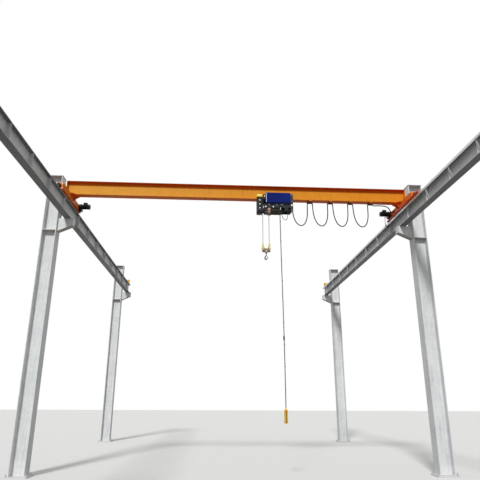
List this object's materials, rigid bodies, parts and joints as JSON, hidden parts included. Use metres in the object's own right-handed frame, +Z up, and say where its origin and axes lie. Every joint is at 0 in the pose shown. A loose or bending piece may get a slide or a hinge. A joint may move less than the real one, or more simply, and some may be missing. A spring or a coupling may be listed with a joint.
{
  "type": "single-girder overhead bridge crane on its runway",
  "caption": "Single-girder bridge crane: an I-girder on two end carriages travels on a column-borne runway, with a rope hoist, hook block, festoon cable and pendant.",
  "frame": {"origin": "centre of the bounding box at floor level, under the middle of the runway", "axes": "+Z up, +Y along the runway away from the front bay, +X along the girder towards the festoon clamp"},
  "size_m": [9.94, 18.42, 7.1],
  "materials": {
    "runway_paint": "satin",
    "beam_paint": "satin",
    "rail_steel": "rolled, bright running face",
    "stop_paint": "satin",
    "crane_orange": "semi-gloss",
    "drive_black": "satin",
    "rubber": "matte",
    "guard_red": "semi-gloss",
    "zinc": "zinc plated",
    "dark_steel": "satin",
    "wheel_steel": "bright tread",
    "gear_case": "satin",
    "yellow_paint": "semi-gloss",
    "cabinet_blue": "semi-gloss",
    "guide_iron": "machined",
    "drum_steel": "greased rope grooves",
    "sheave_iron": "machined",
    "wire_rope": "stranded, greased",
    "forged_steel": "forged, dark",
    "cable_black": "matte",
    "pendant_plastic": "moulded"
  },
  "bodies": {
    "runway": {"columns_left": "runway_paint", "columns_right": "runway_paint", "runway_beams_left": "beam_paint", "runway_beams_right": "beam_paint", "rail_left": "rail_steel", "rail_right": "rail_steel", "end_stops": "stop_paint", "supply_rail": "zinc"},
    "bridge": {"girder": "crane_orange", "girder_stops": "dark_steel", "saddle_plates": "crane_orange", "carriage_left": "crane_orange", "carriage_right": "crane_orange", "travel_drive_left": "drive_black", "travel_drive_right": "drive_black", "buffers": "rubber", "red_guard_bar": "guard_red", "current_collector": "zinc", "festoon_clamp": "dark_steel", "festoon_cable": "cable_black"},
    "hoist": {"trolley_frame": "dark_steel", "trolley_front_plate": "dark_steel", "trolley_rear_plate": "dark_steel", "bearing_plates": "dark_steel", "gearbox": "gear_case", "gearbox_cap": "yellow_paint", "hoist_motor": "drive_black", "control_cabinet": "cabinet_blue", "rope_guide": "guide_iron", "upper_sheave_bracket": "dark_steel", "counterweight": "dark_steel", "cross_travel_drive": "drive_black", "ropes": "wire_rope", "pendant_cable": "cable_black", "pendant": "pendant_plastic", "motor_lead": "cable_black"},
    "hook_block": {"rope_bights": "wire_rope", "block_frame": "guide_iron", "sheave_guards": "yellow_paint"},
    "hook": {"hook": "forged_steel"},
    "hook_latch": {"hook_latch": "zinc"},
    "wheel_left_front": {"wheel_left_front": "wheel_steel"},
    "wheel_left_rear": {"wheel_left_rear": "wheel_steel"},
    "wheel_right_front": {"wheel_right_front": "wheel_steel"},
    "wheel_right_rear": {"wheel_right_rear": "wheel_steel"},
    "trolley_wheel_front_left": {"trolley_wheel_front_left": "wheel_steel"},
    "trolley_wheel_front_right": {"trolley_wheel_front_right": "wheel_steel"},
    "trolley_wheel_rear_left": {"trolley_wheel_rear_left": "wheel_steel"},
    "trolley_wheel_rear_right": {"trolley_wheel_rear_right": "wheel_steel"},
    "festoon_trolley_1": {"festoon_trolley_1": "dark_steel"},
    "festoon_trolley_2": {"festoon_trolley_2": "dark_steel"},
    "festoon_trolley_3": {"festoon_trolley_3": "dark_steel"},
    "drum": {"drum": "drum_steel"},
    "upper_sheave": {"upper_sheave": "sheave_iron"},
    "block_sheave_left": {"block_sheave_left": "sheave_iron"},
    "block_sheave_right": {"block_sheave_right": "sheave_iron"}
  },
  "joints": [
    {"name": "bridge_travel", "type": "slide", "parent": "runway", "child": "bridge", "axis": [0, 1, 0], "range_m": [-7.875, 8.215]},
    {"name": "wheel_left_front_spin", "type": "hinge", "parent": "bridge", "child": "wheel_left_front", "pos_m": [-4.31, -0.82, 6.4153], "axis": [-1, 0, 0], "range_deg": [-5890, 5890]},
    {"name": "wheel_left_rear_spin", "type": "hinge", "parent": "bridge", "child": "wheel_left_rear", "pos_m": [-4.31, 0.48, 6.4153], "axis": [-1, 0, 0], "range_deg": [-5890, 5890]},
    {"name": "wheel_right_front_spin", "type": "hinge", "parent": "bridge", "child": "wheel_right_front", "pos_m": [4.31, -0.82, 6.4153], "axis": [-1, 0, 0], "range_deg": [-5890, 5890]},
    {"name": "wheel_right_rear_spin", "type": "hinge", "parent": "bridge", "child": "wheel_right_rear", "pos_m": [4.31, 0.48, 6.4153], "axis": [-1, 0, 0], "range_deg": [-5890, 5890]},
    {"name": "trolley_travel", "type": "slide", "parent": "bridge", "child": "hoist", "axis": [1, 0, 0], "range_m": [-4.21, 1.182], "deforming": ["festoon_cable"]},
    {"name": "trolley_wheel_front_left_spin", "type": "hinge", "parent": "hoist", "child": "trolley_wheel_front_left", "pos_m": [0.675, -0.26, 6.5933], "axis": [0, 1, 0], "range_deg": [-5370, 5370]},
    {"name": "trolley_wheel_front_right_spin", "type": "hinge", "parent": "hoist", "child": "trolley_wheel_front_right", "pos_m": [1.23, -0.26, 6.5933], "axis": [0, 1, 0], "range_deg": [-5370, 5370]},
    {"name": "trolley_wheel_rear_left_spin", "type": "hinge", "parent": "hoist", "child": "trolley_wheel_rear_left", "pos_m": [0.675, -0.08, 6.5933], "axis": [0, 1, 0], "range_deg": [-5370, 5370]},
    {"name": "trolley_wheel_rear_right_spin", "type": "hinge", "parent": "hoist", "child": "trolley_wheel_rear_right", "pos_m": [1.23, -0.08, 6.5933], "axis": [0, 1, 0], "range_deg": [-5370, 5370]},
    {"name": "festoon_trolley_1_slide", "type": "slide", "parent": "bridge", "child": "festoon_trolley_1", "axis": [1, 0, 0], "range_m": [-3.5622, 1.0073]},
    {"name": "festoon_trolley_2_slide", "type": "slide", "parent": "bridge", "child": "festoon_trolley_2", "axis": [1, 0, 0], "range_m": [-2.115, 0.601]},
    {"name": "festoon_trolley_3_slide", "type": "slide", "parent": "bridge", "child": "festoon_trolley_3", "axis": [1, 0, 0], "range_m": [-0.6678, 0.1947]},
    {"name": "hook_lift", "type": "slide", "parent": "hoist", "child": "hook_block", "axis": [0, 0, 1], "range_m": [-4.3, 0.6], "deforming": ["ropes"]},
    {"name": "drum_spin", "type": "hinge", "parent": "hoist", "child": "drum", "pos_m": [0.67, -0.3414, 6.18], "axis": [-1, 0, 0], "range_deg": [-9760, 9760]},
    {"name": "upper_sheave_spin", "type": "hinge", "parent": "hoist", "child": "upper_sheave", "pos_m": [0.705, -0.1077, 6.265], "axis": [0, 1, 0], "range_deg": [-6160, 6160]},
    {"name": "block_sheave_left_spin", "type": "hinge", "parent": "hook_block", "child": "block_sheave_left", "pos_m": [0.625, -0.17, 5.22], "axis": [-1, 0, 0], "range_deg": [-3980, 3980]},
    {"name": "block_sheave_right_spin", "type": "hinge", "parent": "hook_block", "child": "block_sheave_right", "pos_m": [0.785, -0.17, 5.22], "axis": [1, 0, 0], "range_deg": [-11930, 11930]},
    {"name": "hook_swivel", "type": "hinge", "parent": "hook_block", "child": "hook", "pos_m": [0.705, -0.17, 4.99], "axis": [0, 0, 1], "continuous": true},
    {"name": "latch_hinge", "type": "hinge", "parent": "hook", "child": "hook_latch", "pos_m": [0.705, -0.17, 5.054], "axis": [0.766, 0.6428, 0], "range_deg": [0, 30], "stiffness_Nm_per_rad": 0.4}
  ],
  "couplings": [
    {"joint": "wheel_left_front_spin", "follows": "bridge_travel", "rad_per_m": 12.5},
    {"joint": "wheel_left_rear_spin", "follows": "bridge_travel", "rad_per_m": 12.5},
    {"joint": "wheel_right_front_spin", "follows": "bridge_travel", "rad_per_m": 12.5},
    {"joint": "wheel_right_rear_spin", "follows": "bridge_travel", "rad_per_m": 12.5},
    {"joint": "trolley_wheel_front_left_spin", "follows": "trolley_travel", "rad_per_m": 22.222},
    {"joint": "trolley_wheel_front_right_spin", "follows": "trolley_travel", "rad_per_m": 22.222},
    {"joint": "trolley_wheel_rear_left_spin", "follows": "trolley_travel", "rad_per_m": 22.222},
    {"joint": "trolley_wheel_rear_right_spin", "follows": "trolley_travel", "rad_per_m": 22.222},
    {"joint": "festoon_trolley_1_slide", "follows": "trolley_travel", "ratio": 0.84375},
    {"joint": "festoon_trolley_2_slide", "follows": "trolley_travel", "ratio": 0.5},
    {"joint": "festoon_trolley_3_slide", "follows": "trolley_travel", "ratio": 0.15625},
    {"joint": "drum_spin", "follows": "hook_lift", "rad_per_m": 39.604},
    {"joint": "upper_sheave_spin", "follows": "hook_lift", "rad_per_m": 25},
    {"joint": "block_sheave_left_spin", "follows": "hook_lift", "rad_per_m": 16.129},
    {"joint": "block_sheave_right_spin", "follows": "hook_lift", "rad_per_m": 48.387}
  ]
}
